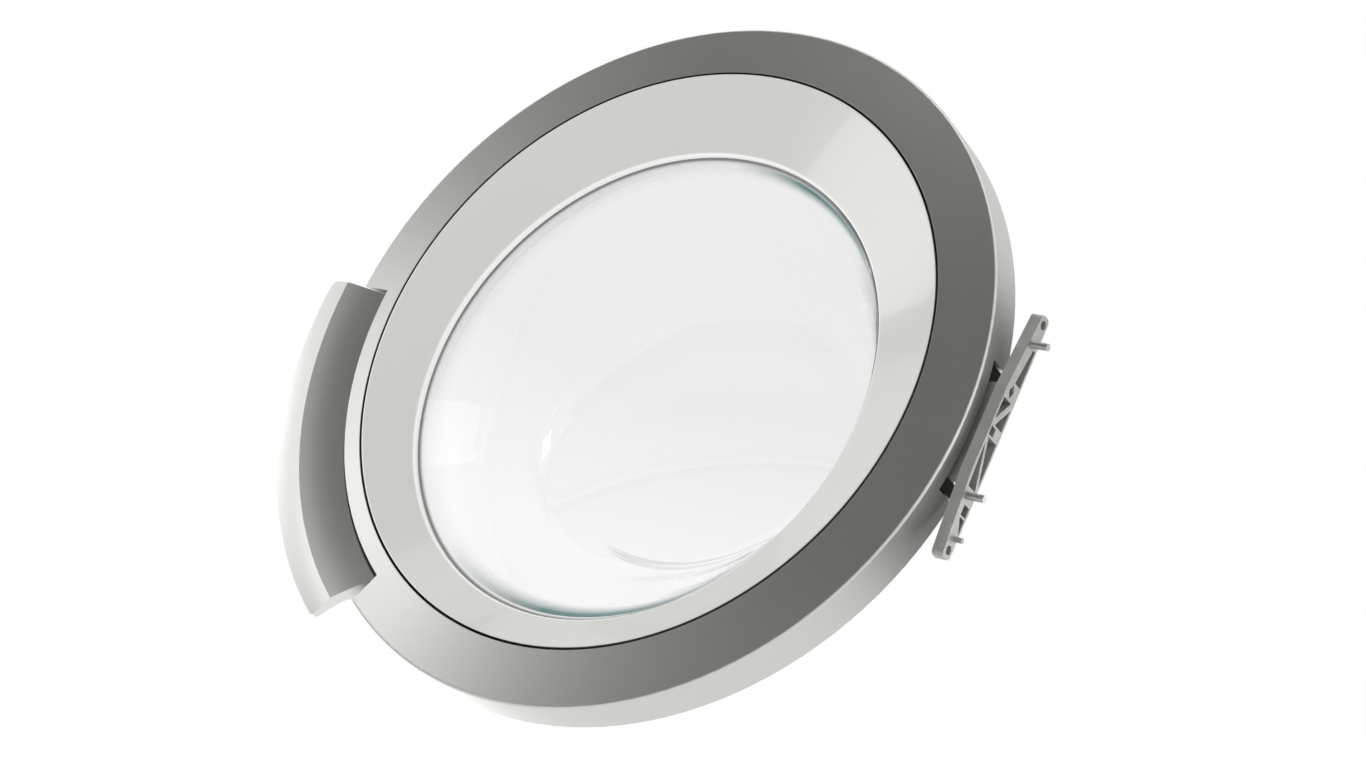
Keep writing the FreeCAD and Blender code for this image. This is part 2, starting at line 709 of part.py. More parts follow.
# Handle: curved grip with a sloping face, hollow behind, with ears for its axle and an arm for the hook
def makeHandle():
    body = newBody("handle")
    inner = handleInner
    span = d.handle_span - 2 * d.handle_end_gap
    hollowInner = inner + d.handle_wall
    hollowOuter = handleOuter - d.handle_wall
    gripFoot = d.lip_depth + d.grip_thickness
    beyond = lipRadius + d.cut_over
    section = outline(body, "handle_section", "XZ_Plane", [
        (inner, -d.ramp_drop), (crestRadius, d.crest_height), (beyond, -d.lip_depth),
        (beyond, -gripFoot), (gripInner, -gripFoot),
        (handleOuter + d.handle_wall, -d.axle_depth), (handleOuter, -d.handle_depth),
        (hollowOuter, -d.handle_depth), (hollowOuter, -d.handle_skin), (hollowInner, -d.handle_skin),
        (hollowInner, -d.handle_depth), (inner, -d.handle_depth)],
        curves={0: (d.ramp_curve, 1), 1: (d.lip_curve, 1), 3: (d.grip_arch, -1)})
    turnAround(body, "Revolution", section, span)
    # end walls close the hollow
    for side in (1, -1):
        end = outline(body, "handle_end%d" % (side + 1), "XZ_Plane", boxPoints(
            inner + d.handle_wall / 2, -d.handle_depth, handleOuter - d.handle_wall / 2,
            -(d.handle_skin - d.handle_wall / 2)), turn=side * (span - d.handle_end_wall) / 2)
        turnAround(body, "Revolution", end, d.handle_end_wall)
    # the upper end is raked back towards the lip
    rake = outline(body, "end_rake", "XY_Plane", [
        around(inner, span / 2), around(beyond, span / 2 - d.handle_end_rake), around(beyond, span / 2)])
    extrude(body, "Pocket", rake, 2 * d.ring_depth, symmetric=True)
    # seen from the front the lip is rounder than the ring, with rounded corners
    lip = newSketch(body, "lip_outline", "XY_Plane")
    addCircle(lip, lipRadius - d.grip_shift, d.grip_shift)
    addOutline(lip, boxPoints(-2 * lipRadius, -2 * lipRadius, 2 * lipRadius, 2 * lipRadius))
    extrude(body, "Pocket", lip, 2 * d.ring_depth, symmetric=True)
    roundEdges(body, "lip_corners", d.lip_corner, isLipCorner)
    # ears
    earFoot = d.axle_depth + d.lug_radius
    ear = boxPoints(inner, -earFoot, axleReach + d.lug_radius, -(d.handle_skin - d.handle_wall / 2))
    extrude(body, "Pad", outline(body, "ear", "XZ_Plane", ear), earOuter, symmetric=True)
    between = boxPoints(hollowInner, -(earFoot + d.ear_gap), axleReach + d.lug_radius + d.ear_gap,
                        -d.handle_skin)
    extrude(body, "Pocket", outline(body, "ear_space", "XZ_Plane", between), d.ear_span, symmetric=True)
    # arm
    armTop = d.arm_depth - d.arm_thickness
    arm = [(armReach, -d.arm_depth), (hollowInner, -d.arm_depth), (hollowInner, -armTop),
           (armReach, -armTop)]
    extrude(body, "Pad", outline(body, "arm", "XZ_Plane", arm), d.arm_width, symmetric=True)
    bore = newSketch(body, "ear_bore", "XZ_Plane")
    addCircle(bore, d.axle_radius + d.axle_running, axleReach, -d.axle_depth)
    extrude(body, "Pocket", bore, earOuter + 2 * d.cut_over, symmetric=True)
    placeOnDoor(body, turned=True)
    return body


# A straight rod across the handle's middle plane
def makeRod(label, reach, depth, radius, length):
    body = newBody(label)
    sketch = newSketch(body, label + "_end", "XZ_Plane")
    addCircle(sketch, radius, reach, -depth)
    extrude(body, "Pad", sketch, length, symmetric=True)
    placeOnDoor(body, turned=True)
    return body


# Latch bracket: base plate on the rear frame with two cheeks for the hook's pin
def makeLatchBracket():
    body = newBody("latch_bracket")
    base = outline(body, "base", "XZ_Plane", boxPoints(
        bracketInner, -rearFront, bracketOuter, -bracketFront))
    extrude(body, "Pad", base, d.bracket_width, symmetric=True)
    cheekOuter = hookPivot + d.hook_boss + d.bracket_wall
    cheek = boxPoints(hookPivot - d.cheek_in, -rearFront, cheekOuter, -d.cheek_top)
    outer = d.cheek_gap + 2 * d.bracket_wall
    extrude(body, "Pad", outline(body, "cheeks", "XZ_Plane", cheek), outer, symmetric=True)
    space = boxPoints(bracketInner, -bracketFront, bracketOuter, -(d.cheek_top - d.bracket_wall))
    extrude(body, "Pocket", outline(body, "cheek_space", "XZ_Plane", space), d.cheek_gap, symmetric=True)
    slot = boxPoints(slotInner, -(rearFront + d.cut_over), slotOuter, -(bracketFront - d.cut_over))
    extrude(body, "Pocket", outline(body, "base_slot", "XZ_Plane", slot), slotWidth, symmetric=True)
    bore = newSketch(body, "cheek_bore", "XZ_Plane")
    addCircle(bore, d.pin_radius + d.screw_fit, hookPivot, -d.hook_depth)
    extrude(body, "Pocket", bore, outer + 2 * d.cut_over, symmetric=True)
    holes = circles(body, "bracket_holes", d.screw_radius + d.screw_clearance, latchScrewPlaces(False),
                    height=-bracketFront)
    extrude(body, "Pocket", holes, d.bracket_wall * 2)
    placeOnDoor(body, turned=True)
    return body


# Latch hook: a tail under the handle's arm, a pivot boss and a stem with a nose behind the door
def makeLatchHook():
    body = newBody("latch_hook")
    tailTop = d.arm_depth + d.tail_gap
    stemIn = hookPivot - d.hook_stem / 2
    stemOut = hookPivot + d.hook_stem / 2
    noseTop = d.hook_length - d.nose_height
    tail = hookPivot + d.tail_reach
    profile = outline(body, "hook_profile", "XZ_Plane", [
        (stemIn, -(d.hook_depth - d.hook_boss)), (stemOut, -(d.hook_depth - d.hook_boss)),
        (stemOut + d.hook_boss, -tailTop), (tail, -tailTop), (tail, -(tailTop + d.tail_thickness)),
        (stemOut, -(d.hook_depth + d.hook_boss)), (stemOut, -noseTop), (stemOut + d.nose_reach, -noseTop),
        (stemOut + d.nose_reach, -(noseTop + d.nose_lip)), (stemOut, -d.hook_length),
        (stemIn, -d.hook_length)])
    extrude(body, "Pad", profile, d.hook_width, symmetric=True)
    bore = newSketch(body, "hook_bore", "XZ_Plane")
    addCircle(bore, d.pin_radius + d.pin_running, hookPivot, -d.hook_depth)
    extrude(body, "Pocket", bore, d.hook_width + 2 * d.cut_over, symmetric=True)
    placeOnDoor(body, turned=True)
    return body


# Torsion spring: a coil round a rod with one leg to the back and one to the front
def makeSpring(label, wire, coil, turns, pitch, backLeg, frontLeg, reach, depth, place):
    rise = turns.value * pitch.value
    helix = Part.makeHelix(pitch.value, rise, coil.value, 0, True)
    slope = Vector(0, -2 * math.pi * coil.value, pitch.value).normalize()
    start = Vector(coil.value, 0, 0)
    end = Vector(coil.value, 0, rise)
    foot = start.sub(Vector(slope).multiply(backLeg.value))
    tip = end.add(Vector(slope).multiply(frontLeg.value))
    path = Part.Wire([Part.makeLine(foot, start)] + helix.Edges + [Part.makeLine(end, tip)])
    section = Part.Wire([Part.makeCircle(wire.value, foot, slope)])
    spring = doc.addObject("Part::Feature", label)
    spring.Label = label
    spring.Shape = path.makePipeShell([section], True, True)
    onRod = Placement(Vector(reach.value, place.value, -depth.value), Rotation(Vector(1, 0, 0), -90))
    spring.Placement = doorPlacement(True).multiply(onRod)
    return spring


# Hinge bar: die-cast and ribbed, with a neck and a barrel that reach through the ring's window
def makeHingeBar():
    body = newBody("hinge_bar")
    halfWidth = d.bar_width / 2
    halfLength = d.bar_length / 2
    halfFlat = d.bar_flat / 2
    front = halfWidth + d.bar_bow
    bar = outline(body, "bar", "YZ_Plane", [
        (halfWidth, -halfLength), (halfWidth, halfLength), (-halfWidth, halfLength), (-front, halfFlat),
        (-front, -halfFlat), (-halfWidth, -halfLength)])
    extrude(body, "Pad", bar, d.bar_thickness)
    roundEdges(body, "bar_corners", d.bar_corner, lambda e: abs(e.Length - d.bar_thickness.value) < 0.01)
    pinX, pinY = pinRow
    neckRoot = d.bar_thickness - d.bar_rim
    neck = outline(body, "neck", "XY_Plane", [
        (neckRoot, pinY - d.neck_front), (pinX, pinY - d.barrel_radius), (pinX, pinY + d.neck_back),
        (neckRoot, pinY + d.neck_back)])
    extrude(body, "Pad", neck, d.barrel_length - 2 * d.neck_inset, symmetric=True)
    barrel = newSketch(body, "barrel", "XY_Plane")
    addCircle(barrel, d.barrel_radius, pinX, pinY)
    extrude(body, "Pad", barrel, d.barrel_length, symmetric=True)
    bore = newSketch(body, "barrel_bore", "XY_Plane")
    addCircle(bore, d.hinge_pin_radius + d.dowel_fit, pinX, pinY)
    extrude(body, "Pocket", bore, d.barrel_length + 2 * d.cut_over, symmetric=True)
    # pockets between the ribs: a square in the middle, a diamond, and triangles on both sides of slanted ribs
    back = halfWidth - d.bar_rim
    inset = front - d.bar_rim
    half = d.middle_pocket / 2
    square = inset - d.middle_pocket
    bossEdge = d.dowel_boss + d.rib_wall
    diamondLow = d.diamond_place - d.diamond_half_height
    diamondHigh = d.diamond_place + d.diamond_half_height
    footLow = d.dowel_high + bossEdge
    footHigh = footLow + d.foot_pocket
    ribs = newSketch(body, "ribs", "YZ_Plane")
    addOutline(ribs, boxPoints(-inset, -half, -square, half))
    addOutline(ribs, [(-(d.diamond_offset + d.diamond_half_width), d.diamond_place),
                      (-d.diamond_offset, diamondLow),
                      (d.diamond_half_width - d.diamond_offset, d.diamond_place),
                      (-d.diamond_offset, diamondHigh)])
    addOutline(ribs, [(back, d.dowel_low + d.rib_wall), (back, diamondLow - d.rib_wall),
                      (-d.diamond_offset, diamondLow - d.rib_wall),
                      (back - d.middle_pocket / 2, d.dowel_low + d.rib_wall)])
    low = diamondHigh + d.rib_wall
    high = -(half + d.rib_wall)
    lean = d.rib_offset * (back + inset) / (high - low)
    addOutline(ribs, [(-inset, low), (back - lean, low), (-inset, high - d.rib_offset)])
    addOutline(ribs, [(lean - inset, high), (back, low + d.rib_offset), (back, high)])
    low = half + d.rib_wall
    high = d.dowel_high - bossEdge
    lean = d.rib_offset * (back + inset) / (high - low)
    addOutline(ribs, [(-inset, low + d.rib_offset), (back - lean, high), (-(inset - d.bar_rim), high)])
    addOutline(ribs, [(lean - inset, low), (back, low), (back, high - d.rib_offset)])
    addOutline(ribs, boxPoints(-back, footLow, back, footHigh))
    addOutline(ribs, [(-back, footHigh + d.rib_wall), (back, footHigh + d.rib_wall),
                      (back, d.pip_place - d.pip_radius - d.rib_wall)])
    extrude(body, "Pocket", ribs, d.rib_height, reverse=True)
    # screw holes, dowel seats and the small cast pip
    holes = newSketch(body, "hinge_holes", "YZ_Plane")
    for end in (1, -1):
        addCircle(holes, d.hinge_hole_radius, 0, end * d.hinge_screw_span / 2)
    extrude(body, "Pocket", holes, d.bar_thickness + d.cut_over, reverse=True)
    seats = newSketch(body, "dowel_seats", "YZ_Plane")
    for place in (d.dowel_low, d.dowel_high):
        addCircle(seats, d.dowel_radius + d.dowel_fit, -d.dowel_offset, place)
    extrude(body, "Pocket", seats, d.dowel_seat, reverse=True)
    pip = newSketch(body, "pip", "YZ_Plane")
    addCircle(pip, d.pip_radius, d.pip_offset, d.pip_place)
    extrude(body, "Pad", pip, d.pip_length, reverse=True)
    return body


def makeHingeDowels():
    body = newBody("hinge_dowels")
    body.AllowCompound = True
    dowels = newSketch(body, "dowels", "YZ_Plane", height=d.dowel_seat)
    for place in (d.dowel_low, d.dowel_high):
        addCircle(dowels, d.dowel_radius, -d.dowel_offset, place)
    extrude(body, "Pad", dowels, d.dowel_seat + d.dowel_length, reverse=True)
    return body


def makeHingePin():
    body = newBody("hinge_pin")
    sketch = newSketch(body, "hinge_pin_end", "XY_Plane")
    addCircle(sketch, d.hinge_pin_radius, pinRow[0], pinRow[1])
    extrude(body, "Pad", sketch, 2 * (bushFoot + d.bush_height + d.pin_end), symmetric=True)
    return body


# Bearing block: holds one end of the hinge pin, with a sunk screw
def makeBush(label, side):
    body = newBody(label)
    near = side * bushFoot
    far = side * (bushFoot + d.bush_height)
    low, high = (near, far) if side > 0 else (far, near)
    block = outline(body, label + "_block", "XY_Plane", boxPoints(-bushOuter, low, -bushInner, high),
                    height=-d.bush_front)
    extrude(body, "Pad", block, d.bush_back - d.bush_front, reverse=True)
    bore = newSketch(body, label + "_bore", "XZ_Plane")
    addCircle(bore, d.hinge_pin_radius + d.hinge_running, -hingeReach, -d.hinge_depth)
    extrude(body, "Pocket", bore, d.bar_length, symmetric=True)
    place = [bushScrewPlaces[0 if side > 0 else 1]]
    hole = circles(body, label + "_hole", d.screw_radius + d.screw_clearance, place, height=-d.bush_front)
    extrude(body, "Pocket", hole, d.ring_depth)
    seat = circles(body, label + "_seat", d.head_radius + d.head_clearance / 2, place,
                   height=-(d.bush_back - d.head_height))
    extrude(body, "Pocket", seat, d.ring_depth)
    placeOnDoor(body)
    return body


pieces = [
    makeOuterRing(),
    makeInnerRing(),
    makeGlassBowl(),
    makeRearFrame(),
    makeScrews("frame_screws", postPlaces, d.ring_depth - d.head_height - d.head_clearance,
               d.screw_length, toFront=True),
    makeScrews("bush_screws", bushScrewPlaces, d.bush_back - d.head_height, bushScrewLength(), toFront=True),
    makeHandle(),
    makeRod("handle_axle", axleReach, d.axle_depth, d.axle_radius, lugOuter),
    makeSpring("handle_spring", d.handle_wire, d.handle_coil, d.handle_turns, d.handle_pitch,
               d.pocket_depth - d.axle_depth - d.spring_rest,
               d.axle_depth - d.handle_skin - d.spring_rest,
               axleReach, d.axle_depth, d.handle_spring_place),
    makeLatchBracket(),
    makeLatchHook(),
    makeRod("hook_pin", hookPivot, d.hook_depth, d.pin_radius, d.cheek_gap + 2 * d.bracket_wall),
    makeSpring("hook_spring", d.hook_wire, d.hook_coil, d.hook_turns, d.hook_pitch,
               bracketFront - d.hook_depth - d.spring_rest,
               d.hook_depth - d.cheek_top,
               hookPivot, d.hook_depth, d.hook_width / 2 + d.hook_wire + d.hook_spring_gap),
    makeScrews("latch_screws", latchScrewPlaces(False), bracketFront, d.latch_screw_length,
               toFront=False, turned=True),
    makeHingeBar(),
    makeHingeDowels(),
    makeHingePin(),
    makeBush("hinge_bush_upper", 1),
    makeBush("hinge_bush_lower", -1),
]

doc.recompute()
for item in doc.Objects:
    if "Invalid" in item.State or "Error" in item.State:
        raise RuntimeError("%s failed: %s" % (item.Label, item.State))
for piece in pieces:
    if piece.Shape.isNull() or not piece.Shape.isValid():
        raise RuntimeError("%s has no valid shape" % piece.Label)

os.makedirs("parts", exist_ok=True)
for piece in pieces:
    piece.Shape.exportStep("parts/%s.step" % piece.Label)
    print(piece.Label, len(piece.Shape.Solids), round(piece.Shape.Volume))
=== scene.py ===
import math

import bmesh
import bpy
from mathutils import Matrix, Vector

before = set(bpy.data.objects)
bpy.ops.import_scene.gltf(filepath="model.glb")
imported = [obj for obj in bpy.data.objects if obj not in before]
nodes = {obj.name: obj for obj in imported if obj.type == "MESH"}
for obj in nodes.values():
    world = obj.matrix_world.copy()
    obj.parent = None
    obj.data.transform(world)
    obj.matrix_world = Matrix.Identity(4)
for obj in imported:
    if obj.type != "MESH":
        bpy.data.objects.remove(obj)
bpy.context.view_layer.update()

mmPerMetre = 1000
mixShare, mixFrom, mixTo, mixResult = 0, 6, 7, 2  # colour sockets of a Mix node, whose names repeat
print("frame loaded:", len(nodes), "nodes")


def srgb(hexColor):
    channels = [int(hexColor[i:i + 2], 16) / 255 for i in (1, 3, 5)]
    linear = [c / 12.92 if c <= 0.04045 else ((c + 0.055) / 1.055) ** 2.4 for c in channels]
    return (*linear, 1.0)


# adds one node; settings are its own options, inputs are fixed values, links are outputs of other nodes
def addNode(tree, kind, settings=None, inputs=None, links=None):
    node = tree.nodes.new(kind)
    for name, value in (settings or {}).items():
        setattr(node, name, value)
    for name, value in (inputs or {}).items():
        node.inputs[name].default_value = value
    for name, source in (links or {}).items():
        tree.links.new(source, node.inputs[name])
    return node


def emptyTree(owner):
    owner.use_nodes = True
    owner.node_tree.nodes.clear()
    return owner.node_tree


# pattern scale for a grain of this many millimetres, in a scene of metres
def perMetre(grainMm):
    return mmPerMetre / grainMm


# a finish drifts between two tints, its roughness follows a second grain and its relief a third
def makeFinish(look):
    material = bpy.data.materials.new(look["name"])
    tree = emptyTree(material)
    place = addNode(tree, "ShaderNodeTexCoord").outputs["Object"]
    drift = addNode(tree, "ShaderNodeTexNoise", inputs={"Scale": perMetre(look["tintMm"])},
                    links={"Vector": place})
    tint = addNode(tree, "ShaderNodeMix", {"data_type": "RGBA"}, {
        mixFrom: srgb(look["tints"][0]), mixTo: srgb(look["tints"][1])}, {mixShare: drift.outputs["Fac"]})
    grain = addNode(tree, "ShaderNodeTexNoise", inputs={"Scale": perMetre(look["roughMm"])},
                    links={"Vector": place})
    rough = addNode(tree, "ShaderNodeMapRange", inputs={
        "To Min": look["rough"][0], "To Max": look["rough"][1]}, links={"Value": grain.outputs["Fac"]})
    peel = addNode(tree, "ShaderNodeTexNoise", inputs={"Scale": perMetre(look["reliefMm"])},
                   links={"Vector": place})
    relief = addNode(tree, "ShaderNodeBump", inputs={
        "Strength": look["relief"], "Distance": look["heightMm"] / mmPerMetre},
        links={"Height": peel.outputs["Fac"]})
    shader = addNode(tree, "ShaderNodeBsdfPrincipled", inputs=look["shader"], links={
        "Base Color": tint.outputs[mixResult], "Roughness": rough.outputs["Result"],
        "Normal": relief.outputs["Normal"]})
    addNode(tree, "ShaderNodeOutputMaterial", links={"Surface": shader.outputs["BSDF"]})
    return material


# paints a band of colour onto a finish around an axis along Y, in full at the first radius and not at all at
# the second; it paints the seam shade and the lip highlight
def paintLightAround(material, centre, radii, tint):
    tree = material.node_tree
    place = addNode(tree, "ShaderNodeTexCoord").outputs["Object"]
    fromAxis = addNode(tree, "ShaderNodeMapping", {"vector_type": "POINT"}, {
        "Location": (-centre[0], 0, -centre[1]), "Scale": (1, 0, 1)}, {"Vector": place})
    reach = addNode(tree, "ShaderNodeVectorMath", {"operation": "LENGTH"}, links={
        0: fromAxis.outputs["Vector"]})
    share = addNode(tree, "ShaderNodeMapRange", inputs={"From Min": radii[1], "From Max": radii[0]}, links={
        "Value": reach.outputs["Value"]})
    color = tree.nodes["Principled BSDF"].inputs["Base Color"]
    paintedLight = addNode(tree, "ShaderNodeMix", {"data_type": "RGBA"}, {mixTo: srgb(tint)}, {
        mixShare: share.outputs["Result"], mixFrom: color.links[0].from_socket})
    tree.links.new(paintedLight.outputs[mixResult], color)


def dress(finish, *names):
    for name in names:
        nodes[name].data.materials.clear()
        nodes[name].data.materials.append(finish)


# Silver lacquer sprayed on moulded ABS: fine flake makes a soft mirror, faint orange peel breaks it.
# The flake is drawn coarser than it is, so that it shows. A dark band of painted shade lies on the edge at the
# seam, for the shade of the gap.
outerRing = {
    "name": "sprayed silver lacquer on ABS", "shader": {"Metallic": 1.0},
    "tints": ("#cccdc9", "#d2d3cf"), "tintMm": 0.9, "rough": (0.38, 0.42), "roughMm": 60,
    "relief": 0.12, "reliefMm": 3, "heightMm": 0.02,
    "seamCentre": (0.233, 0.0), "seamShadeRadii": (0.1887, 0.1891), "seamShade": "#343433",
}
material = makeFinish(outerRing)
# painted shade: a dark band on the ring's edge at the seam
paintLightAround(material, outerRing["seamCentre"], outerRing["seamShadeRadii"], outerRing["seamShade"])
dress(material, "outer_ring")

# The same lacquer, a paler batch on the handle: a satin face with a slow fall from light to dark
handleGrip = {
    "name": "satin silver lacquer on ABS", "shader": {"Metallic": 1.0},
    "tints": ("#dedfdb", "#e4e4e1"), "tintMm": 0.9, "rough": (0.36, 0.4), "roughMm": 60,
    "relief": 0.12, "reliefMm": 3, "heightMm": 0.02,
}
dress(makeFinish(handleGrip), "handle")

# ABS from a polished mould: an even light grey body under a thin sharp reflection.
# Its lip at the glass carries a white painted highlight, and its edge at the seam a band of painted shade for
# the shade of the gap.
innerRing = {
    "name": "polished light grey ABS",
    "shader": {"IOR": 1.52, "Coat Weight": 0.4, "Coat Roughness": 0.03},
    "tints": ("#d2d3ce", "#d5d6d1"), "tintMm": 35, "rough": (0.12, 0.18), "roughMm": 4,
    "relief": 0.05, "reliefMm": 20, "heightMm": 0.02,
    "lipCentre": (0.233, 0.0129), "lipHighlightRadii": (0.1524, 0.1536), "lipHighlight": "#fcfcfb",
    "seamCentre": (0.233, 0.0), "seamShadeRadii": (0.1874, 0.1872), "seamShade": "#626260",
}
material = makeFinish(innerRing)
# painted highlight: a white band on the lip at the glass
paintLightAround(material, innerRing["lipCentre"], innerRing["lipHighlightRadii"], innerRing["lipHighlight"])
# painted shade: a grey band on the edge at the seam
paintLightAround(material, innerRing["seamCentre"], innerRing["seamShadeRadii"], innerRing["seamShade"])
dress(material, "inner_ring")

# PP from a spark-eroded mould: a pale body with a fine dull texture and no clear mirror
rearFrame = {
    "name": "moulded white PP", "shader": {"IOR": 1.49},
    "tints": ("#f0f0ee", "#f6f6f4"), "tintMm": 12, "rough": (0.45, 0.57), "roughMm": 1.2,
    "relief": 0.3, "reliefMm": 1.2, "heightMm": 0.03,
}
dress(makeFinish(rearFrame), "rear_frame")

# Acetal, smooth from the mould: waxy white with a soft wide highlight
latchHook = {
    "name": "moulded white acetal", "shader": {"IOR": 1.48},
    "tints": ("#dededa", "#e6e6e2"), "tintMm": 12, "rough": (0.35, 0.45), "roughMm": 1.2,
    "relief": 0.2, "reliefMm": 1.2, "heightMm": 0.02,
}
dress(makeFinish(latchHook), "latch_hook")

# Acetal coloured black: deep and even, only its edges catch light
hingeBushes = {
    "name": "moulded black acetal", "shader": {"IOR": 1.48},
    "tints": ("#161616", "#202020"), "tintMm": 12, "rough": (0.4, 0.52), "roughMm": 1.2,
    "relief": 0.3, "reliefMm": 1.2, "heightMm": 0.03,
}
dress(makeFinish(hingeBushes), "hinge_bush_upper", "hinge_bush_lower")

# Aluminium as it leaves the die: a grainy grey skin with cloudy lighter flow marks, half dulled by its oxide
hingeBar = {
    "name": "die-cast aluminium", "shader": {"Metallic": 0.5},
    "tints": ("#94948f", "#b4b4b0"), "tintMm": 9, "rough": (0.42, 0.6), "roughMm": 1.6,
    "relief": 0.5, "reliefMm": 1.6, "heightMm": 0.06,
}
dress(makeFinish(hingeBar), "hinge_bar")

# Pressed sheet steel, zinc plated: cool grey with a silky broken mirror
latchBracket = {
    "name": "zinc-plated sheet steel", "shader": {"Metallic": 1.0},
    "tints": ("#a6a6a4", "#b6b6b2"), "tintMm": 18, "rough": (0.3, 0.42), "roughMm": 3,
    "relief": 0.2, "reliefMm": 3, "heightMm": 0.01,
}
dress(makeFinish(latchBracket), "latch_bracket")

# Steel rod, cold drawn: light grey and satin from the fine marks of the die
rods = {
    "name": "drawn steel", "shader": {"Metallic": 1.0},
    "tints": ("#b0b0ae", "#c4c4c2"), "tintMm": 5, "rough": (0.38, 0.52), "roughMm": 0.8,
    "relief": 0.2, "reliefMm": 0.8, "heightMm": 0.01,
}
dress(makeFinish(rods), "hinge_dowels", "hinge_pin", "handle_axle", "hook_pin")

# Steel screws, zinc plated: a little darker and shinier than the rods
screws = {
    "name": "zinc-plated screw steel", "shader": {"Metallic": 1.0},
    "tints": ("#a8a8a4", "#bcbcb8"), "tintMm": 6, "rough": (0.28, 0.4), "roughMm": 1,
    "relief": 0.2, "reliefMm": 1, "heightMm": 0.01,
}
dress(makeFinish(screws), "frame_screws", "bush_screws", "latch_screws")

# Spring wire, hard drawn: darker and smooth along its turns
springs = {
    "name": "hard-drawn spring wire", "shader": {"Metallic": 1.0},
    "tints": ("#8e8e8c", "#a2a2a0"), "tintMm": 4, "rough": (0.25, 0.35), "roughMm": 0.6,
    "relief": 0.2, "reliefMm": 0.6, "heightMm": 0.01,
}
dress(makeFinish(springs), "handle_spring", "hook_spring")

# Soda-lime glass, pressed and fire-polished: clear and slightly wavy, a thin sharp reflection on both faces.
# Its rim keeps the mould's matt skin, and where the eye looks along the wall near the rim it turns green.
# The wall bends light less here than real glass does, so the bowl stays as clear as it looks in daylight.
# Painted shade: greyer at low Z than at high Z, a grey line at the seam with the lip, and a thin grey line at
# the bend at the foot of the wall.
glassBowl = {
    "name": "pressed soda-lime glass",
    "shader": {"IOR": 1.06, "Roughness": 0.0, "Coat Weight": 0.7, "Coat IOR": 1.5, "Coat Roughness": 0.0},
    "tints": ("#ecedec", "#fafafa"), "paintedShadeZ": (-0.02, 0.1),
    "rimY": (-0.003, 0.006), "rimClear": 0.35,
    "edgeTint": "#3f6a69", "edgeFacing": (0.36, 0.56), "edgeY": (0.004, -0.003),
    "seamShade": "#828483", "seamShadeY": (-0.0055, -0.006),
    "bendShade": "#d2d5d4", "bendCentre": (0.215, 0.0, -0.0081), "bendAxis": (0, 0.9397, 0.342),
    "bendRadius": 0.0903, "bendHalfWidth": 0.0016,
    "bendSide": (-0.707, 0, 0.707), "bendSideFade": (-0.106, -0.09),
    "waveMm": 45, "waveDetail": 0.0, "wave": 0.25, "heightMm": 0.15,
}
material = bpy.data.materials.new(glassBowl["name"])
tree = emptyTree(material)
place = addNode(tree, "ShaderNodeTexCoord").outputs["Object"]
axes = addNode(tree, "ShaderNodeSeparateXYZ", links={"Vector": place})
# painted shade: the glass is greyer at low Z and whiter at high Z
height = addNode(tree, "ShaderNodeMapRange", inputs={
    "From Min": glassBowl["paintedShadeZ"][0], "From Max": glassBowl["paintedShadeZ"][1]}, links={"Value": axes.outputs["Z"]})
tint = addNode(tree, "ShaderNodeMix", {"data_type": "RGBA"}, {
    mixFrom: srgb(glassBowl["tints"][0]), mixTo: srgb(glassBowl["tints"][1])},
    {mixShare: height.outputs["Result"]})

# green where the eye looks along the wall near the rim
glance = addNode(tree, "ShaderNodeLayerWeight")
along = addNode(tree, "ShaderNodeMapRange", inputs={
    "From Min": glassBowl["edgeFacing"][0], "From Max": glassBowl["edgeFacing"][1]},
    links={"Value": glance.outputs["Facing"]})
nearRim = addNode(tree, "ShaderNodeMapRange", inputs={
    "From Min": glassBowl["edgeY"][0], "From Max": glassBowl["edgeY"][1]}, links={"Value": axes.outputs["Y"]})
green = addNode(tree, "ShaderNodeMath", {"operation": "MULTIPLY"}, links={
    0: along.outputs["Result"], 1: nearRim.outputs["Result"]})
edged = addNode(tree, "ShaderNodeMix", {"data_type": "RGBA"}, {mixTo: srgb(glassBowl["edgeTint"])}, {
    mixShare: green.outputs[0], mixFrom: tint.outputs[mixResult]})

# painted shade: grey at the seam with the lip
atSeam = addNode(tree, "ShaderNodeMapRange", inputs={
    "From Min": glassBowl["seamShadeY"][0], "From Max": glassBowl["seamShadeY"][1]}, links={"Value": axes.outputs["Y"]})
seamed = addNode(tree, "ShaderNodeMix", {"data_type": "RGBA"}, {mixTo: srgb(glassBowl["seamShade"])}, {
    mixShare: atSeam.outputs["Result"], mixFrom: edged.outputs[mixResult]})

# painted shade: a grey line at one distance from the axis of the slanted back, fading out along one side
fromCentre = addNode(tree, "ShaderNodeVectorMath", {"operation": "SUBTRACT"}, {1: glassBowl["bendCentre"]}, {
    0: place})
fromAxis = addNode(tree, "ShaderNodeVectorMath", {"operation": "CROSS_PRODUCT"}, {1: glassBowl["bendAxis"]}, {
    0: fromCentre.outputs["Vector"]})
reach = addNode(tree, "ShaderNodeVectorMath", {"operation": "LENGTH"}, links={0: fromAxis.outputs["Vector"]})
inBend = addNode(tree, "ShaderNodeMath", {"operation": "COMPARE"}, {
    1: glassBowl["bendRadius"], 2: glassBowl["bendHalfWidth"]}, {0: reach.outputs["Value"]})
aside = addNode(tree, "ShaderNodeVectorMath", {"operation": "DOT_PRODUCT"}, {1: glassBowl["bendSide"]}, {
    0: place})
onSide = addNode(tree, "ShaderNodeMapRange", inputs={
    "From Min": glassBowl["bendSideFade"][0], "From Max": glassBowl["bendSideFade"][1]},
    links={"Value": aside.outputs["Value"]})
bend = addNode(tree, "ShaderNodeMath", {"operation": "MULTIPLY"}, links={
    0: inBend.outputs[0], 1: onSide.outputs["Result"]})
bent = addNode(tree, "ShaderNodeMix", {"data_type": "RGBA"}, {mixTo: srgb(glassBowl["bendShade"])}, {
    mixShare: bend.outputs[0], mixFrom: seamed.outputs[mixResult]})

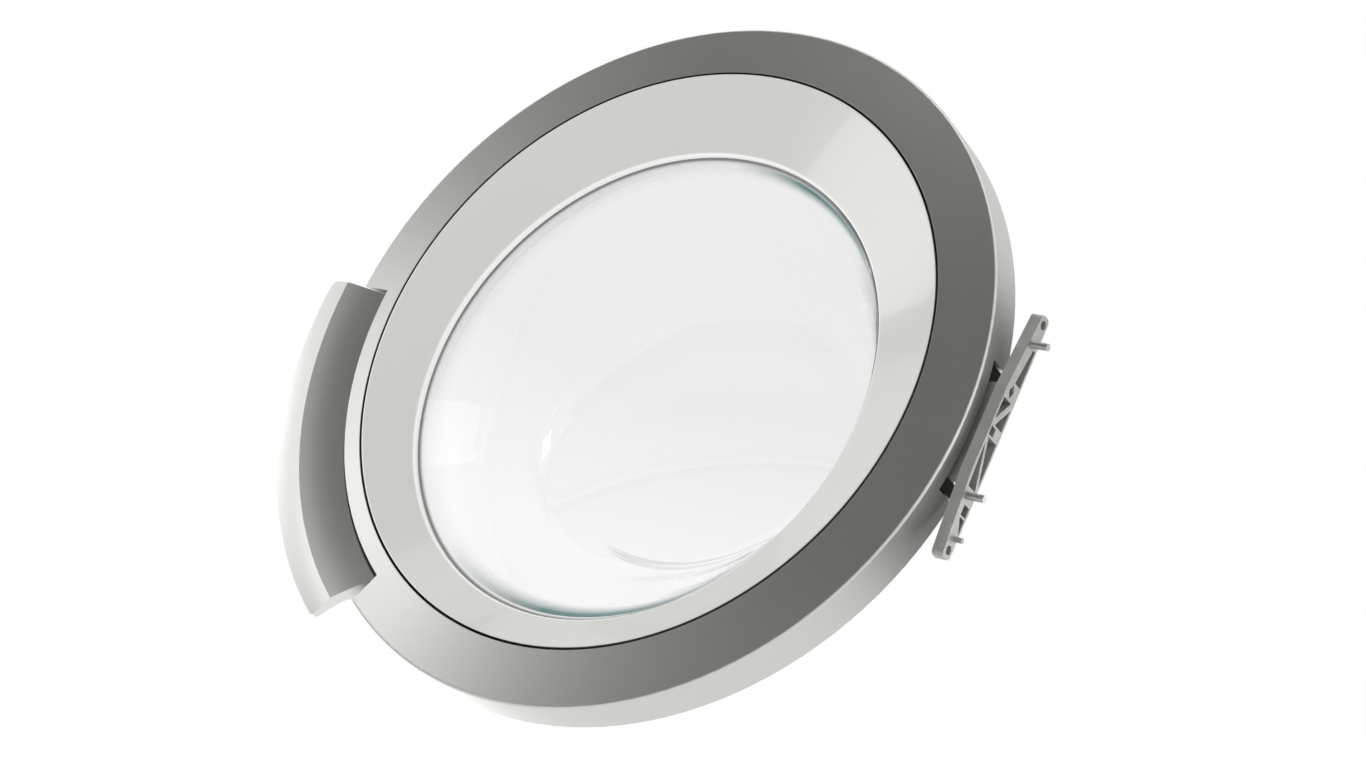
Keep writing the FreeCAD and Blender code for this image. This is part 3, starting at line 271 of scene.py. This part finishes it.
# matt rim, clear below it, with the slow waves of pressed glass
clear = addNode(tree, "ShaderNodeMapRange", inputs={
    "From Min": glassBowl["rimY"][0], "From Max": glassBowl["rimY"][1], "To Min": glassBowl["rimClear"]},
    links={"Value": axes.outputs["Y"]})
wave = addNode(tree, "ShaderNodeTexNoise", inputs={
    "Scale": perMetre(glassBowl["waveMm"]), "Detail": glassBowl["waveDetail"]}, links={"Vector": place})
relief = addNode(tree, "ShaderNodeBump", inputs={
    "Strength": glassBowl["wave"], "Distance": glassBowl["heightMm"] / mmPerMetre},
    links={"Height": wave.outputs["Fac"]})
shader = addNode(tree, "ShaderNodeBsdfPrincipled", inputs=glassBowl["shader"], links={
    "Base Color": bent.outputs[mixResult], "Transmission Weight": clear.outputs["Result"],
    "Normal": relief.outputs["Normal"]})
addNode(tree, "ShaderNodeOutputMaterial", links={"Surface": shader.outputs["BSDF"]})
dress(material, "glass_bowl")
nodes["glass_bowl"].visible_shadow = False  # clear glass lets the light reach the pieces behind it
nodes["glass_bowl"].visible_diffuse = False  # and the light that they throw at one another
print("finishes done")


# the rays of the camera, of mirrors and through glass, all of which meet plain white
def seeingRays(tree):
    path = addNode(tree, "ShaderNodeLightPath")
    seen = path.outputs["Is Camera Ray"]
    for ray in ("Is Glossy Ray", "Is Transmission Ray"):
        either = addNode(tree, "ShaderNodeMath", {"operation": "ADD", "use_clamp": True}, links={
            0: seen, 1: path.outputs[ray]})
        seen = either.outputs[0]
    return seen


# White studio: white to the eye, in gloss and through glass, and an even light at a plain level
studio = {"background": "#ffffff", "white": 1.0, "fill": 0.92}
world = bpy.data.worlds.new("white studio")
bpy.context.scene.world = world
tree = emptyTree(world)
strength = addNode(tree, "ShaderNodeMapRange", inputs={"To Min": studio["fill"], "To Max": studio["white"]},
                   links={"Value": seeingRays(tree)})
background = addNode(tree, "ShaderNodeBackground", inputs={"Color": srgb(studio["background"])},
                     links={"Strength": strength.outputs["Result"]})
addNode(tree, "ShaderNodeOutputWorld", links={"Surface": background.outputs["Background"]})


def stageMesh(name, bm, material):
    mesh = bpy.data.meshes.new(name)
    bm.to_mesh(mesh)
    bm.free()
    mesh.materials.append(material)
    obj = bpy.data.objects.new(name, mesh)
    bpy.context.scene.collection.objects.link(obj)
    return obj


# Pale floor far below the door, white to the same rays as the world
floorSheet = {"height": -1.9, "size": 14.0, "color": "#f4f4f3", "rough": 0.9}
material = bpy.data.materials.new("pale floor paint")
tree = emptyTree(material)
paint = addNode(tree, "ShaderNodeBsdfPrincipled", inputs={
    "Base Color": srgb(floorSheet["color"]), "Roughness": floorSheet["rough"]})
glow = addNode(tree, "ShaderNodeEmission", inputs={
    "Color": srgb(studio["background"]), "Strength": studio["white"]})
mix = addNode(tree, "ShaderNodeMixShader", links={
    0: seeingRays(tree), 1: paint.outputs[0], 2: glow.outputs[0]})
addNode(tree, "ShaderNodeOutputMaterial", links={"Surface": mix.outputs[0]})
bm = bmesh.new()
bmesh.ops.create_grid(bm, x_segments=1, y_segments=1, size=floorSheet["size"],
                      matrix=Matrix.Translation((0, 0, floorSheet["height"])))
stageMesh("floor", bm, material)

# Dark paper on both sides of the door, curved about it and seen only as a mirror image in its silver faces.
# To a ray that has come through glass, which has a depth of one or more, it is white.
paperCurve = {"centre": (0.233, -0.02, 0), "radius": 1.4, "stepDegrees": 2.5, "pastGlass": 0.5}
darkPapers = {
    "front paper": {"low": -1.68, "high": 0.9, "from": -112.0, "to": -20.5, "shade": "#646462"},
    "back paper": {"low": -1.1, "high": 0.35, "from": 106.0, "to": 152.0, "shade": "#4c4c4a"},
}
paperCentre = Vector(paperCurve["centre"])
for name, paper in darkPapers.items():
    material = bpy.data.materials.new("dark " + name)
    tree = emptyTree(material)
    path = addNode(tree, "ShaderNodeLightPath")
    dark = addNode(tree, "ShaderNodeEmission", inputs={
        "Color": srgb(paper["shade"]), "Strength": studio["white"]})
    white = addNode(tree, "ShaderNodeEmission", inputs={
        "Color": srgb(studio["background"]), "Strength": studio["white"]})
    inGlass = addNode(tree, "ShaderNodeMath", {"operation": "GREATER_THAN"}, {1: paperCurve["pastGlass"]},
                      {0: path.outputs["Transmission Depth"]})
    mix = addNode(tree, "ShaderNodeMixShader", links={
        0: inGlass.outputs[0], 1: dark.outputs[0], 2: white.outputs[0]})
    addNode(tree, "ShaderNodeOutputMaterial", links={"Surface": mix.outputs[0]})
    start = math.radians(paper["from"])
    sweep = paper["to"] - paper["from"]
    foot = paperCentre + Vector((math.cos(start), math.sin(start), 0)) * paperCurve["radius"]
    bm = bmesh.new()
    low = bm.verts.new(foot + Vector((0, 0, paper["low"])))
    high = bm.verts.new(foot + Vector((0, 0, paper["high"])))
    edge = bm.edges.new((low, high))
    bmesh.ops.spin(bm, geom=[low, high, edge], cent=paperCentre, axis=(0, 0, 1),
                   steps=round(sweep / paperCurve["stepDegrees"]), angle=math.radians(sweep))
    sheet = stageMesh(name, bm, material)
    sheet.visible_camera = False
    sheet.visible_diffuse = False
    sheet.visible_transmission = False
    sheet.visible_shadow = False

# Softboxes: the power follows from how bright the lamp's face should look, and one side lies along a direction.
# A lamp lights all pieces, only the ones included or all but the ones excluded.
softboxes = {
    "side softbox": {"place": (1.098, -0.667, 0.01), "target": (0.233, -0.02, 0.0), "along": (0, 0, 1),
                     "size": (0.68, 0.39), "brightness": 2.3, "lights": ("EXCLUDE", ("glass_bowl",))},
    "back softbox": {"place": (1.23, 1.13, 0.36), "target": (0.233, 0.0, 0.1), "along": (0.75, -0.66, 0),
                     "size": (0.9, 0.4), "brightness": 1.5, "lights": ("EXCLUDE", ("glass_bowl",))},
    "handle softbox": {"place": (1.55, 0.1, 0.05), "target": (0.45, 0.0, 0.1), "along": (0, 1, 0),
                       "size": (0.5, 0.4), "brightness": 1.4, "lights": ("EXCLUDE", ("glass_bowl",))},
    "hinge softbox": {"place": (-0.75, 0.75, -0.1), "target": (0.0, 0.0, 0.0), "along": (0, 0, 1),
                      "size": (0.5, 0.5), "brightness": 5.0,
                      "lights": ("INCLUDE", ("hinge_bar", "hinge_dowels"))},
    "edge softbox": {"place": (-1.0, -0.45, -0.3), "target": (0.03, -0.02, 0.0), "along": (0, 0, 1),
                     "size": (0.5, 0.3), "brightness": 2.5, "lights": ("INCLUDE", ("outer_ring",))},
    "low strip": {"place": (-0.13, -0.19, -0.64), "target": (0.36, 0.0, 0.07), "along": (0.84, 0, -0.54),
                  "size": (0.4, 0.12), "brightness": 1.3, "lights": None},
    "low lamp": {"place": (0.24, -0.4, -0.78), "target": (0.33, 0.06, 0.04), "along": (1, 0, 0),
                 "size": (0.34, 0.05), "brightness": 4.0, "lights": None},
}
for name, box in softboxes.items():
    lamp = bpy.data.lights.new(name, "AREA")
    lamp.shape = "RECTANGLE"
    lamp.size, lamp.size_y = box["size"]
    lamp.energy = box["brightness"] * math.pi * lamp.size * lamp.size_y
    lampObject = bpy.data.objects.new(name, lamp)
    back = (Vector(box["place"]) - Vector(box["target"])).normalized()
    across = back.cross(Vector(box["along"])).normalized()
    turn = Matrix((across.cross(back), across, back)).transposed().to_4x4()
    lampObject.matrix_world = Matrix.Translation(box["place"]) @ turn
    bpy.context.scene.collection.objects.link(lampObject)
    lampObject.visible_camera = False
    if box["lights"]:
        linkState, pieces = box["lights"]
        chosen = bpy.data.collections.new(name + " pieces")
        for piece in pieces:
            chosen.objects.link(nodes[piece])
        for entry in chosen.collection_objects:
            entry.light_linking.link_state = linkState
        lampObject.light_linking.receiver_collection = chosen
print("studio ready")

# Camera: long lens from the front, turned nearly upside down as the door was laid
cameraStand = {"place": (-0.8111, -1.3004, 0.5181), "right": (-0.79105, 0.46378, -0.39893),
               "up": (0.16274, -0.46908, -0.86803), "lens": 79.06}
right = Vector(cameraStand["right"])
up = Vector(cameraStand["up"])
turn = Matrix((right, up, right.cross(up))).transposed().to_4x4()
camera = bpy.data.objects.new("camera", bpy.data.cameras.new("camera"))
camera.data.lens = cameraStand["lens"]
camera.matrix_world = Matrix.Translation(cameraStand["place"]) @ turn
bpy.context.scene.collection.objects.link(camera)
bpy.context.scene.camera = camera
bpy.context.scene.view_settings.view_transform = "Standard"
print("camera set")
